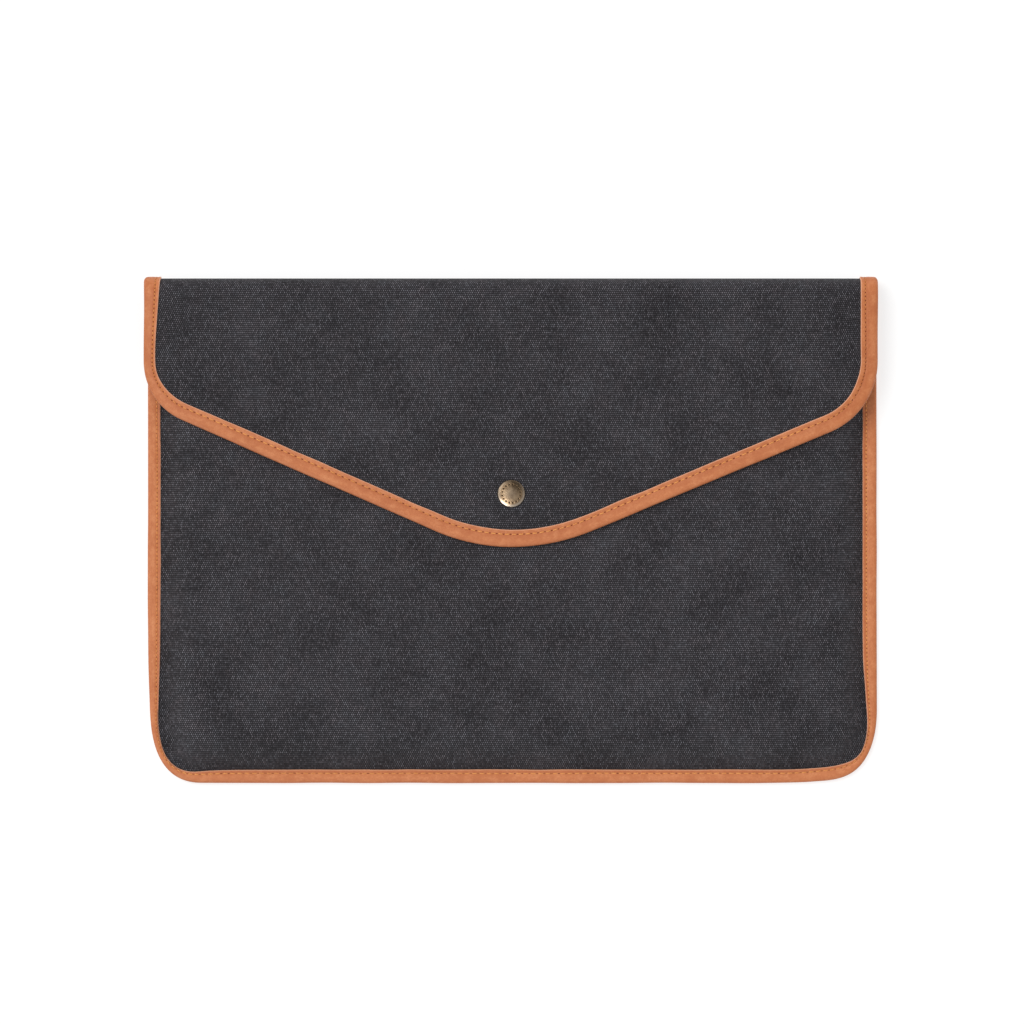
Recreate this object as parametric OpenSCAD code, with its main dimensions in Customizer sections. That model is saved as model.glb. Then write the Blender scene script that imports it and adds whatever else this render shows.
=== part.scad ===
// Padded canvas laptop sleeve with an envelope flap, a leather edge binding and a brass snap.
// The sleeve lies on its back: +Z points up through the flap, +X to the right, and +Y towards
// the fold. The origin is at table level, under the middle of the sleeve.

/* [Pocket] */
// Width over the side bindings
sleeve_w = 397; // [388:1:420]
// Length from the bottom binding to the outside of the fold
sleeve_l = 275; // [270:1:300]
// Width of the rounded part of each bottom corner
corner_w = 30; // [26:1:45]
// Length of the rounded part of each bottom corner
corner_l = 42; // [30:1:60]
// Squareness of the bottom corners, where 2 is a plain ellipse
corner_square = 2.4; // [2:0.1:2.8]
// Clear height between the back lining and the front lining
pocket_h = 12.6; // [12.4:0.1:16]
// Width of the sloping edge between the binding and the flat of the front panel
slope_w = 20; // [16:1:22]

/* [Cloth] */
// Thickness of the outer canvas
canvas_t = 0.8; // [0.6:0.1:1]
// Thickness of the foam padding
foam_t = 2; // [1.5:0.1:3]
// Thickness of the lining cloth
lining_t = 0.4; // [0.3:0.1:0.6]
// Thickness of the stiffener inside the flap and the fold
stiffener_t = 0.6; // [0.4:0.1:0.8]

/* [Leather] */
// Thickness of the leather strip
leather_t = 0.9; // [0.7:0.1:1.2]
// Width of the strip that shows round the pocket
pocket_binding_w = 7; // [5:0.2:9]
// Width of the strip that shows round the flap
flap_binding_w = 9.4; // [7:0.2:12]
// Width of the strip that shows along the mouth
mouth_binding_w = 7; // [5:0.2:9]

/* [Flap] */
// Width over the flap's side bindings
flap_w = 400; // [390:1:424]
// Length of the flap's straight sides, from the outside of the fold
flap_side = 49.4; // [40:0.2:60]
// Slope of the flap's lower edges, in degrees
flap_slope = 23; // [20:0.2:26]
// Outer radius of the flap's side corners
flap_corner_r = 32; // [20:1:45]
// Outer radius of the flap's tip
flap_tip_r = 98; // [60:1:120]

/* [Snap] */
// Diameter of the cap on the flap
cap_d = 15; // [12:0.5:17]
// Height of the cap above the canvas
cap_h = 2.4; // [1.8:0.1:3]
// Distance from the outside of the fold to the middle of the snap
snap_from_fold = 117.2; // [105:0.2:125]

/* [Stitching] */
// Width of the thread
thread_w = 0.6; // [0.4:0.1:0.8]
// Height of the thread above the leather
thread_h = 0.3; // [0.2:0.1:0.4]
// Distance from the edge of the pocket to its line of stitches
pocket_stitch_in = 4.9; // [3:0.1:6]
// Distance from the edge of the flap to its line of stitches
flap_stitch_in = 7.4; // [5:0.1:9]

/* [Hidden] */
$fn = 64;
OVERCUT = 1;        // how far a cutting shape runs past what it cuts
ARC_STEPS = 10;     // straight pieces in each rounded corner of an outline
MIN_CORNER = 4;     // smallest corner radius of a layer that lies far inside the edge
SLOPE_STEPS = 8;    // levels in the sloping edge of the front panel
FOLD_GAP = 1;       // clearance between the fold and the panels at each end of it
FLAP_GAP = 1.6;     // space between the front panel and the flap's lining
MOUTH_BACK = 3.85;  // distance from the mouth edge to the end of the back panel
FOAM_IN = 14.8;     // distance from the edge of the sleeve to the full thickness of back foam
SEAM_IN = pocket_binding_w + 1; // distance from the edge of the sleeve to the foot of the slope

// Heights in the bound seam round the pocket, from the table up
back_canvas_seam_z = leather_t;
back_lining_seam_z = back_canvas_seam_z + canvas_t;
front_lining_seam_z = back_lining_seam_z + lining_t;
front_canvas_seam_z = front_lining_seam_z + lining_t;
seam_top_z = front_canvas_seam_z + canvas_t;
seam_h = seam_top_z + leather_t;

// Heights over the middle of the pocket
panel_t = canvas_t + foam_t + lining_t;
roof_z = panel_t + pocket_h;
front_top_z = roof_z + panel_t;

// Heights and places of the flap and the fold
flap_t = canvas_t + stiffener_t + lining_t;
flap_under_z = front_top_z + FLAP_GAP;
flap_top_z = flap_under_z + flap_t;
fold_r = (flap_top_z - leather_t) / 2;
fold_z = leather_t + fold_r;
fold_y = sleeve_l / 2 - leather_t - fold_r;
panel_end_y = fold_y - FOLD_GAP;
mouth_y = panel_end_y - MOUTH_BACK;
snap_y = sleeve_l / 2 - snap_from_fold;

// Snap parts below the cap
post_d = 3.4;               // post of the cap, and hollow post under the stud
post_flange_t = 0.5;
patch_t = 0.6;
dimple_d = 22;              // pressed place in the front panel that holds the stud
stud_z = roof_z + lining_t + patch_t + canvas_t;
stud_base_d = 10;
stud_base_t = 0.5;
stud_head_d = 5.2;
stud_neck_d = 4.4;
stud_h = 1.7;
socket_z = stud_z + stud_base_t + 0.3;
socket_bore_d = 6.2;
spring_wire_d = 0.5;
spring_r = stud_head_d / 2 + 0.3 + spring_wire_d / 2;

// Signed power of v
function bend(v, power) = sign(v) * pow(abs(v), power);

// Points along an arc with radii r = [across, along], from angle a0 to angle a1. It is a plain
// ellipse at square = 2, and fuller at its corners above that.
function arc(centre, r, a0, a1, square = 2) =
    [for (i = [0:ARC_STEPS]) let (a = a0 + (a1 - a0) * i / ARC_STEPS)
        centre + [r[0] * bend(cos(a), 2 / square), r[1] * bend(sin(a), 2 / square)]];

// Outline of the pocket, a distance inside its edge, with its top end at end_y
function pocket_outline(inset, end_y) =
    let (r = [max(corner_w - inset, MIN_CORNER), max(corner_l - inset, MIN_CORNER)],
        x = sleeve_w / 2 - inset - r[0],
        y = -sleeve_l / 2 + inset + r[1])
    concat([[-x - r[0], end_y]], arc([-x, y], r, 180, 270, corner_square),
        arc([x, y], r, 270, 360, corner_square), [[x + r[0], end_y]]);

// Outline of the flap, a distance inside its edge, with its top end at end_y
function flap_outline(inset, end_y) =
    let (side = [flap_w / 2 - flap_corner_r, sleeve_l / 2 - flap_side],
        edge = flap_corner_r - flap_tip_r + side[0] * sin(flap_slope) - side[1] * cos(flap_slope),
        tip = [0, -edge / cos(flap_slope)],
        r = flap_corner_r - inset,
        tip_r = flap_tip_r - inset)
    concat([[side[0] + r, end_y]], arc(side, [r, r], 0, flap_slope - 90),
        arc(tip, [tip_r, tip_r], flap_slope - 90, -90 - flap_slope),
        arc([-side[0], side[1]], [r, r], -90 - flap_slope, -180), [[-side[0] - r, end_y]]);

// Point on the sloping edge of the front panel: [distance from the sleeve's edge, height].
// u runs from 0 at the seam to 1 at the flat, and depth is measured inwards from the canvas.
function slope_point(u, depth) =
    let (rise = front_top_z - seam_top_z,
        angle = atan(rise * PI / 2 * cos(90 * u) / slope_w))
    [SEAM_IN + slope_w * u + depth * sin(angle), seam_top_z + rise * sin(90 * u) - depth * cos(angle)];

// Flat layer of the pocket between two heights
module pocket_layer(inset, z0, z1, end_y = panel_end_y) {
    translate([0, 0, z0])
        linear_extrude(z1 - z0)
            polygon(pocket_outline(inset, end_y));
}

// Flat layer of the flap between two heights
module flap_layer(inset, z0, z1, end_y = panel_end_y) {
    translate([0, 0, z0])
        linear_extrude(z1 - z0)
            polygon(flap_outline(inset, end_y));
}

// Flat ring along the pocket's sides and bottom
module pocket_ring(outer, inner, z0, z1) {
    difference() {
        pocket_layer(outer, z0, z1);
        pocket_layer(inner, z0 - OVERCUT, z1 + OVERCUT, panel_end_y + OVERCUT);
    }
}

// Solid cushion shape of the front panel, a depth below its canvas
module pillow(depth, end_y) {
    foot = slope_point(0, depth);
    hull() {
        pocket_layer(foot[0], 0.2, foot[1], end_y);
        for (i = [1:SLOPE_STEPS]) {
            level = slope_point(i / SLOPE_STEPS, depth);
            pocket_layer(level[0], level[1] - 0.1, level[1], end_y);
        }
    }
}

// One cloth layer of the front panel, with its bottom edge at foot_z
module front_layer(depth, thickness, foot_z) {
    difference() {
        pillow(depth, mouth_y);
        pillow(depth + thickness, mouth_y + OVERCUT);
        pocket_layer(-OVERCUT, -OVERCUT, foot_z, mouth_y + OVERCUT);
    }
}

// Cross-section of the front panel at the mouth, looking along the sleeve
module arch(depth, foot_z) {
    points = [for (i = [0:SLOPE_STEPS]) slope_point(i / SLOPE_STEPS, depth)];
    half = sleeve_w / 2;
    right = [for (p = points) [half - p[0], p[1]]];
    left = [for (i = [SLOPE_STEPS:-1:0]) [points[i][0] - half, points[i][1]]];
    intersection() {
        polygon(concat([[half - points[0][0], 0]], right, left, [[points[0][0] - half, 0]]));
        translate([-half, foot_z])
            square([sleeve_w, front_top_z]);
    }
}

// Band that follows the front panel's cross-section between two depths and two places along it
module mouth_band(outer_depth, inner_depth, y0, y1, foot_z) {
    translate([0, y1, 0])
        rotate([90, 0, 0])
            linear_extrude(y1 - y0)
                difference() {
                    arch(outer_depth, foot_z);
                    arch(inner_depth, foot_z - OVERCUT);
                }
}

// Half tube round the fold between two radii and two places across the sleeve
module fold_band(r_out, r_in, x0, x1) {
    translate([x0, fold_y, fold_z])
        rotate([90, 0, 90])
            difference() {
                cylinder(r = r_out, h = x1 - x0);
                translate([0, 0, -OVERCUT])
                    cylinder(r = r_in, h = x1 - x0 + 2 * OVERCUT);
                translate([-2 * r_out, -r_out - OVERCUT, -OVERCUT])
                    cube([2 * r_out, 2 * (r_out + OVERCUT), x1 - x0 + 2 * OVERCUT]);
            }
}

// Leather strip folded over one end of the fold
module fold_binding() {
    difference() {
        fold_band(fold_r + leather_t, fold_r - flap_t - leather_t,
            flap_w / 2 - flap_binding_w, flap_w / 2);
        fold_band(fold_r, fold_r - flap_t,
            flap_w / 2 - flap_binding_w - OVERCUT, flap_w / 2 - leather_t);
    }
}

// Upright cylinder on the axis of the snap
module snap_cylinder(d, z0, z1) {
    translate([0, snap_y, z0])
        cylinder(d = d, h = z1 - z0);
}

module back_canvas() {
    color("#3c3a3e") {
        pocket_layer(pocket_binding_w, 0, canvas_t);
        pocket_ring(pocket_binding_w, pocket_binding_w + canvas_t, 0, back_lining_seam_z);
        pocket_ring(leather_t, pocket_binding_w + canvas_t, back_canvas_seam_z, back_lining_seam_z);
    }
}

module back_foam() {
    color("#d8d6d0") {
        pocket_layer(pocket_binding_w + canvas_t, canvas_t, back_lining_seam_z);
        pocket_layer(FOAM_IN, back_lining_seam_z, canvas_t + foam_t);
    }
}

module back_lining() {
    color("#7b7468") {
        pocket_layer(FOAM_IN - lining_t, canvas_t + foam_t, panel_t);
        pocket_ring(FOAM_IN - lining_t, FOAM_IN, back_lining_seam_z, panel_t);
        pocket_ring(leather_t, FOAM_IN, back_lining_seam_z, front_lining_seam_z);
    }
}

module front_canvas() {
    color("#3c3a3e") {
        difference() {
            front_layer(0, canvas_t, front_canvas_seam_z);
            snap_cylinder(dimple_d + 2 * canvas_t, roof_z, front_top_z + OVERCUT);
        }
        pocket_ring(leather_t, slope_point(0, canvas_t)[0], front_canvas_seam_z, seam_top_z);
        difference() {
            snap_cylinder(dimple_d + 2 * canvas_t, stud_z - canvas_t, front_top_z);
            snap_cylinder(dimple_d, stud_z, front_top_z + OVERCUT);
            snap_cylinder(post_d, roof_z, front_top_z);
        }
    }
}

module front_foam() {
    color("#d8d6d0")
        difference() {
            front_layer(canvas_t, foam_t, seam_top_z);
            snap_cylinder(dimple_d + 2 * canvas_t, roof_z, front_top_z + OVERCUT);
        }
}

module front_lining() {
    color("#7b7468")
        difference() {
            union() {
                front_layer(canvas_t + foam_t, lining_t, front_lining_seam_z);
                pocket_ring(leather_t, slope_point(0, panel_t)[0] + canvas_t,
                    front_lining_seam_z, front_canvas_seam_z);
            }
            snap_cylinder(post_d, roof_z - OVERCUT, front_top_z);
        }
}

module mouth_binding() {
    color("#c9885a")
        difference() {
            mouth_band(-leather_t, panel_t + leather_t, mouth_y - mouth_binding_w,
                mouth_y + leather_t, seam_h + thread_h);
            mouth_band(0, panel_t, mouth_y - mouth_binding_w - OVERCUT, mouth_y, seam_h);
        }
}

module mouth_stitching() {
    stitch_y = mouth_y - mouth_binding_w / 2 - thread_w;
    color("#e19a5a")
        mouth_band(-leather_t - thread_h, -leather_t, stitch_y, stitch_y + thread_w, seam_h + 1);
}

module body_binding() {
    color("#c9885a")
        difference() {
            pocket_ring(0, pocket_binding_w, 0, seam_h);
            pocket_layer(leather_t, back_canvas_seam_z, seam_top_z, panel_end_y + OVERCUT);
        }
}

module body_stitching() {
    color("#e19a5a")
        pocket_ring(pocket_stitch_in - thread_w / 2, pocket_stitch_in + thread_w / 2,
            seam_h, seam_h + thread_h);
}

module front_snap_patch() {
    color("#5a4636")
        difference() {
            snap_cylinder(dimple_d - 2, roof_z + lining_t, roof_z + lining_t + patch_t);
            snap_cylinder(post_d, roof_z, front_top_z);
        }
}

module snap_stud() {
    color("#8a7458")
        difference() {
            union() {
                snap_cylinder(stud_base_d, stud_z, stud_z + stud_base_t);
                snap_cylinder(stud_neck_d, stud_z, stud_z + stud_h);
                snap_cylinder(stud_head_d, stud_z + stud_h - 0.6, stud_z + stud_h);
            }
            snap_cylinder(post_d, stud_z - OVERCUT, stud_z + stud_h - 0.4);
        }
}

module snap_post() {
    color("#8a7458")
        difference() {
            union() {
                snap_cylinder(stud_base_d, roof_z - post_flange_t, roof_z);
                snap_cylinder(post_d, roof_z - post_flange_t, stud_z + stud_h - 0.4);
            }
            snap_cylinder(post_d - 0.8, roof_z - OVERCUT, stud_z + stud_h - 0.8);
        }
}

module fold_canvas() {
    half = flap_w / 2 - leather_t;
    color("#3c3a3e")
        fold_band(fold_r, fold_r - canvas_t, -half, half);
}

module fold_stiffener() {
    half = flap_w / 2 - leather_t;
    color("#d8d6d0")
        fold_band(fold_r - canvas_t, fold_r - canvas_t - stiffener_t, -half, half);
}

module fold_lining() {
    half = flap_w / 2 - leather_t;
    color("#7b7468")
        fold_band(fold_r - canvas_t - stiffener_t, fold_r - flap_t, -half, half);
}

module fold_binding_left() {
    color("#c47851")
        mirror([1, 0, 0])
            fold_binding();
}

module fold_binding_right() {
    color("#c47851")
        fold_binding();
}

module flap_canvas() {
    color("#3c3a3e")
        difference() {
            flap_layer(leather_t, flap_top_z - canvas_t, flap_top_z);
            snap_cylinder(post_d, flap_under_z, flap_top_z + OVERCUT);
        }
}

module flap_stiffener() {
    color("#d8d6d0")
        difference() {
            flap_layer(leather_t, flap_under_z + lining_t, flap_top_z - canvas_t);
            snap_cylinder(dimple_d - 2, flap_under_z, flap_top_z);
        }
}

module flap_lining() {
    color("#7b7468")
        difference() {
            flap_layer(leather_t, flap_under_z, flap_under_z + lining_t);
            snap_cylinder(post_d, flap_under_z - OVERCUT, flap_top_z);
        }
}

module flap_binding() {
    color("#c9885a")
        difference() {
            flap_layer(0, flap_under_z - leather_t, flap_top_z + leather_t);
            flap_layer(flap_binding_w, flap_under_z - 2 * leather_t, flap_top_z + 2 * leather_t,
                panel_end_y + OVERCUT);
            flap_layer(leather_t, flap_under_z, flap_top_z, panel_end_y + OVERCUT);
        }
}

module flap_stitching() {
    top = flap_top_z + leather_t;
    color("#e19a5a")
        difference() {
            flap_layer(flap_stitch_in - thread_w / 2, top, top + thread_h);
            flap_layer(flap_stitch_in + thread_w / 2, top - OVERCUT, top + OVERCUT,
                panel_end_y + OVERCUT);
        }
}

module flap_snap_patch() {
    color("#5a4636")
        difference() {
            snap_cylinder(dimple_d - 2, flap_under_z + lining_t, flap_top_z - canvas_t);
            snap_cylinder(post_d, flap_under_z, flap_top_z);
        }
}

module snap_cap() {
    rim_h = cap_h / 2;
    crown_d = cap_d - 1;
    crown_h = cap_h - rim_h;
    crown_r = (pow(crown_d / 2, 2) + pow(crown_h, 2)) / (2 * crown_h);
    color("#8a7458") {
        snap_cylinder(cap_d, flap_top_z, flap_top_z + rim_h);
        intersection() {
            translate([0, snap_y, flap_top_z + cap_h - crown_r])
                sphere(r = crown_r);
            snap_cylinder(crown_d, flap_top_z + rim_h / 2, flap_top_z + cap_h);
        }
        snap_cylinder(post_d, flap_under_z - 1, flap_top_z + rim_h / 2);
    }
}

module snap_socket() {
    color("#8a7458")
        difference() {
            union() {
                snap_cylinder(stud_base_d + 1.5, flap_under_z - 0.8, flap_under_z);
                snap_cylinder(socket_bore_d + 2.2, socket_z, flap_under_z);
            }
            snap_cylinder(socket_bore_d, socket_z - OVERCUT, flap_under_z - 1);
            snap_cylinder(2 * spring_r + spring_wire_d + 0.2, socket_z + 0.2,
                socket_z + 0.2 + spring_wire_d + 0.2);
            snap_cylinder(post_d, socket_z, flap_under_z + OVERCUT);
        }
}

module snap_spring() {
    color("#b0a890")
        translate([0, snap_y, socket_z + 0.3 + spring_wire_d / 2])
            rotate_extrude(angle = 320)
                translate([spring_r, 0])
                    circle(d = spring_wire_d, $fn = 24);
}

back_canvas();
back_foam();
back_lining();
front_canvas();
front_foam();
front_lining();
mouth_binding();
mouth_stitching();
body_binding();
body_stitching();
front_snap_patch();
snap_stud();
snap_post();
fold_canvas();
fold_stiffener();
fold_lining();
fold_binding_left();
fold_binding_right();
flap_canvas();
flap_stiffener();
flap_lining();
flap_binding();
flap_stitching();
flap_snap_patch();
snap_cap();
snap_socket();
snap_spring();
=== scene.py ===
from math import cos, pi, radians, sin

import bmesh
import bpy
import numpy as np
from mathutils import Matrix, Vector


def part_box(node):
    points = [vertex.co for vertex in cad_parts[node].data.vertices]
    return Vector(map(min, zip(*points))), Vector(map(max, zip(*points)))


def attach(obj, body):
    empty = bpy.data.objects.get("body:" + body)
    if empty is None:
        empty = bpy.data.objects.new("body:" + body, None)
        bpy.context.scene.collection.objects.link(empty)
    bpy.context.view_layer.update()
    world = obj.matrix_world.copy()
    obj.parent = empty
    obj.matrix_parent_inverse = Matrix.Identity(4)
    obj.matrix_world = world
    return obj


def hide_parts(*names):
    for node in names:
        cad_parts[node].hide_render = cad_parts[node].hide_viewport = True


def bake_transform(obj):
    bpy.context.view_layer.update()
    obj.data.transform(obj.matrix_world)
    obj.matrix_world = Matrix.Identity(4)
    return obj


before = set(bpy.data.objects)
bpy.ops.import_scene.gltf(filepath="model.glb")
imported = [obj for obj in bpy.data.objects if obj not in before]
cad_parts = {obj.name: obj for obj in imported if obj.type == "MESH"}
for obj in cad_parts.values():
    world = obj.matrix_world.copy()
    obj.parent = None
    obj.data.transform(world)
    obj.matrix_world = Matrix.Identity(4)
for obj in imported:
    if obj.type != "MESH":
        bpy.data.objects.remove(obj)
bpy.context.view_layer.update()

# Laptop sleeve: washed charcoal canvas bound with tan leather, closed by a brass snap.
# Geometry is worked out in millimetres in the frame's own axes and turned into metres when a
# mesh is made. The sleeve lies on its back, with +Z up through the flap and +Y towards the fold.
# Every sheet, strip and pad is a closed mesh. q is the length of cloth from the outermost line of
# the fold, positive towards the flap.

MM = 0.001


def span(node):
    """Lowest and highest corner of a CAD node, in millimetres."""
    low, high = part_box(node)
    return np.array(low) / MM, np.array(high) / MM


def thickness(node):
    low, high = span(node)
    return high[2] - low[2]


# ------------ sizes from the frame
body_low, body_high = span("body_binding")
strip_low, strip_high = span("flap_binding")
fold_low, fold_high = span("fold_canvas")
cap_low, cap_high = span("snap_cap")

POCKET_HALF = body_high[0]
BOTTOM_Y = body_low[1]
PANEL_END = body_high[1]
SEAM_H = body_high[2]
FLAP_HALF = strip_high[0]
FLAP_TOP = span("flap_canvas")[1][2]
LEATHER = strip_high[2] - FLAP_TOP
CANVAS = thickness("flap_canvas")
LINING = thickness("flap_lining")
STIFFENER = thickness("flap_stiffener")
FOLD_R = (fold_high[2] - fold_low[2]) / 2
FOLD_Y = fold_low[1]
FOLD_OUT = fold_high[1]
FOLD_FOOT = fold_low[2]
FRONT_TOP = span("front_canvas")[1][2]
MOUTH_Y = span("mouth_binding")[1][1] - LEATHER
FOAM = span("back_foam")[1][2] - CANVAS
SNAP_Y = (cap_low[1] + cap_high[1]) / 2
CAP_R = (cap_high[0] - cap_low[0]) / 2
CAP_TOP = cap_high[2]
STUD_Z = span("snap_stud")[0][2]

# ------------ sizes of the cloth and leather
CORNER = (30.0, 42.0)  # rounded part of the pocket's bottom corners, across and along
CORNER_SQUARE = 2.4  # squareness of those corners, where 2 is a plain ellipse
POCKET_SET = (0.6, 0.2)  # the pocket was sewn to the right of the flap by this, and wider
LEFT_LEAN = (1.2, 30.5, 24.0)  # its left side leans in by this, so far up, over so much
RIGHT_LIFT = (1.6, 176.0, 15.0)  # its bottom rises by this, so far to the right, over so much
FLAP_TIP_Y = strip_low[1] + 0.8
FLAP_TIP_X = 1.2  # the tip was cut a little to the right
FLAP_TIP_R = 110.0
FLAP_SIDES = ((-1, FLAP_HALF, 35.0, radians(23.7)),  # side, half width, corner radius, slope
              (1, FLAP_HALF - 0.4, 42.0, radians(22.6)))
SEAM_STACK = 2 * (CANVAS + LINING)  # cloth inside the pocket's bound seam
EDGE_STACK = CANVAS + LINING  # cloth inside the flap's bound edge
FLAP_STRIP_W = 9.4
MOUTH_STRIP_W = 7.0
STRIP_STEP = 0.8  # between the points along a strip
STITCH_PITCH = 4.0  # along the lower edges
SIDE_PITCH = 2.3  # down the sides
STITCH_SHARE = 0.28  # share of the strip between its cut edge and its line of stitches
CLOTH_IN = 2.4  # from a bound edge to the cloth inside its strip
SLOPE_START = 7.2  # where the front panel leaves its binding
SLOPE_END = 28.0  # where it reaches its full height
DROOP = 5.5  # how far the flap's side edges hang down
DROOP_START = FLAP_HALF - 36
FOLD_BULGE = 0.95  # how far the cloth's spring pushes the fold out
FOLD_TUCK = (6.0, 0.5)  # the fold's ends are drawn in over this length, by this much
FLAP_SINK = 0.9  # how far the flap settles towards its lower edges
MOUTH_STACK = CANVAS + 0.45 * FOAM + LINING  # cloth and thinned foam inside the mouth's strip
FOAM_GAP = 0.06  # between the foam and the cloth on each side
PANEL_CUT = 0.97  # share of its rectangle that a panel fills
FLAP_CUT = 0.77
QUARTER = FOLD_R * pi / 2  # cloth in a quarter turn of the fold
TIP_Q = QUARTER + FOLD_Y - FLAP_TIP_Y - FLAP_TIP_R  # middle of the curve at the flap's tip
WEAVE_START = (0.144, 0.308)  # first warp and pick, from the middle of the sleeve
CAP_SIDES = 192  # points round the snap's cap
CAP_DENTS = 16  # round dents pressed into its crown
DENT_RING = 5.0  # radius of their ring


# ------------ small tools
def smooth(t):
    t = np.clip(t, 0.0, 1.0)
    return t * t * (3 - 2 * t)


def soft_noise(x, y, size, seed):
    """Smooth noise from -1 to 1 over the plane, with features about size millimetres across."""
    lattice = np.random.RandomState(seed).rand(61, 67) * 2 - 1
    gx, gy = np.asarray(x) / size + 1000.0, np.asarray(y) / size + 1000.0
    ix, iy = np.floor(gx).astype(int), np.floor(gy).astype(int)
    fx, fy = smooth(gx - ix), smooth(gy - iy)

    def row(b):
        near, far = [lattice[(ix + a) % 61, (iy + b) % 67] for a in (0, 1)]
        return near * (1 - fx) + far * fx

    return row(0) * (1 - fy) + row(1) * fy


def lengths_along(path):
    """Length of a path up to each of its points."""
    return np.concatenate([[0], np.cumsum(np.linalg.norm(np.diff(path, axis=0), axis=1))])


def resample(points, step):
    """The same path with points about step millimetres apart."""
    points = np.asarray(points, float)
    run = lengths_along(points)
    s = np.linspace(0, run[-1], int(round(run[-1] / step)) + 1)
    return np.stack([np.interp(s, run, points[:, k]) for k in range(points.shape[1])], 1)


def arc(centre, radii, start, end, square=2.0, steps=48):
    """Points along a quarter or less of an ellipse, fuller at its corners if square is above 2."""
    a = np.linspace(start, end, steps + 1)
    c, s = np.cos(a), np.sin(a)
    x = centre[0] + radii[0] * np.sign(c) * np.abs(c) ** (2 / square)
    y = centre[1] + radii[1] * np.sign(s) * np.abs(s) ** (2 / square)
    return np.stack([x, y], 1)


def path_distance(x, y, path):
    """Distance of each point from a path, and how far along the path the nearest point is."""
    shape = np.shape(x)
    p = np.stack([np.ravel(x), np.ravel(y)], 1)
    a, d = path[:-1], np.diff(path, axis=0)
    length = np.linalg.norm(d, axis=1)
    run = lengths_along(path)
    best, along = np.empty(len(p)), np.empty(len(p))
    for i in range(0, len(p), 4096):
        q = p[i:i + 4096, None, :] - a[None]
        t = np.clip((q * d).sum(2) / length ** 2, 0, 1)
        gap = np.linalg.norm(q - t[..., None] * d, axis=2)
        k = gap.argmin(1)
        rows = np.arange(len(k))
        best[i:i + 4096] = gap[rows, k]
        along[i:i + 4096] = run[k] + t[rows, k] * length[k]
    return best.reshape(shape), along.reshape(shape)


class EdgeField:
    def __init__(self, path, low, high, step=2.0):
        self.low, self.step = np.array(low, float), step
        counts = np.ceil((np.array(high) - self.low) / step).astype(int) + 1
        axes = [start + step * np.arange(count) for start, count in zip(self.low, counts)]
        x, y = np.meshgrid(*axes, indexing="ij")
        self.tables = path_distance(x, y, path)

    def __call__(self, x, y):
        x, y = np.broadcast_arrays(x, y)
        rows, cols = self.tables[0].shape
        gx = np.clip((x - self.low[0]) / self.step, 0, rows - 1.001)
        gy = np.clip((y - self.low[1]) / self.step, 0, cols - 1.001)
        ix, iy = gx.astype(int), gy.astype(int)
        fx, fy = gx - ix, gy - iy
        return [(t[ix, iy] * (1 - fx) + t[ix + 1, iy] * fx) * (1 - fy)
                + (t[ix, iy + 1] * (1 - fx) + t[ix + 1, iy + 1] * fx) * fy for t in self.tables]


# ------------ outlines
def sewn(x, y):
    """Where the plan place (x, y) of an even pocket lies once the pocket is sewn."""
    side, up = x / POCKET_HALF, y - BOTTOM_Y
    depth, above, reach = LEFT_LEAN
    lean = depth * np.exp(-((up - above) / reach) ** 2) * np.clip(-side, 0, 1)
    rise, right, width = RIGHT_LIFT
    lift = rise * np.exp(-((x - right) / width) ** 2 - (up / 30) ** 2)
    return x + POCKET_SET[0] + POCKET_SET[1] * side + lean, y + lift


def pocket_outline(inset, end_y):
    """Left side, bottom and right side of the pocket, inset from its edge, as points (x, y)."""
    rx, ry = CORNER[0] - inset, CORNER[1] - inset
    x, y = POCKET_HALF - inset - rx, BOTTOM_Y + inset + ry
    edge = resample(np.concatenate([
        [[-x - rx, end_y]],
        arc((-x, y), (rx, ry), pi, 1.5 * pi, CORNER_SQUARE),
        arc((x, y), (rx, ry), 1.5 * pi, 2 * pi, CORNER_SQUARE),
        [[x + rx, end_y]],
    ]), 1.0)
    return np.stack(sewn(edge[:, 0], edge[:, 1]), 1)


def fold_tuck(q):
    """How far the ends of the fold are drawn in, by distance q round the fold."""
    return FOLD_TUCK[1] * (1 - smooth(np.abs(q) / FOLD_TUCK[0]))


def flap_corner(side, half, corner_r, slope):
    """Centre (x, q) of the flap's corner on one side."""
    x = side * (half - corner_r)
    across = side * (x - FLAP_TIP_X)
    return x, TIP_Q - (across * sin(slope) + corner_r - FLAP_TIP_R) / cos(slope)


def flap_outline(inset=0.0):
    """The flap's edge from the left end of the fold to the right, as points (x, q)."""
    (_, left_half, left_r, left_slope), (_, right_half, right_r, right_slope) = FLAP_SIDES
    q = np.linspace(0.0, FOLD_TUCK[0], 6)
    tuck = inset + fold_tuck(q)
    return np.concatenate([
        np.stack([tuck - left_half, q], 1),
        arc(flap_corner(*FLAP_SIDES[0]), (left_r - inset,) * 2, pi, pi / 2 + left_slope),
        arc((FLAP_TIP_X, TIP_Q), (FLAP_TIP_R - inset,) * 2, pi / 2 + left_slope, pi / 2 - right_slope),
        arc(flap_corner(*FLAP_SIDES[1]), (right_r - inset,) * 2, pi / 2 - right_slope, 0),
        np.stack([right_half - tuck, q], 1)[::-1],
    ])


PLAN_LOW, PLAN_HIGH = (-FLAP_HALF - 6, BOTTOM_Y - 6), (FLAP_HALF + 6, FOLD_OUT + 6)
pocket_edge = EdgeField(resample(pocket_outline(0.0, PANEL_END + 60), 2.0), PLAN_LOW, PLAN_HIGH)
flap_edge = EdgeField(
    resample(np.concatenate([[[-FLAP_HALF, -60.0]], flap_outline(), [[FLAP_HALF, -60.0]]]), 2.0),
    (PLAN_LOW[0], -QUARTER - 6), (PLAN_HIGH[0], QUARTER + FOLD_Y - FLAP_TIP_Y + 6))


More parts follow.
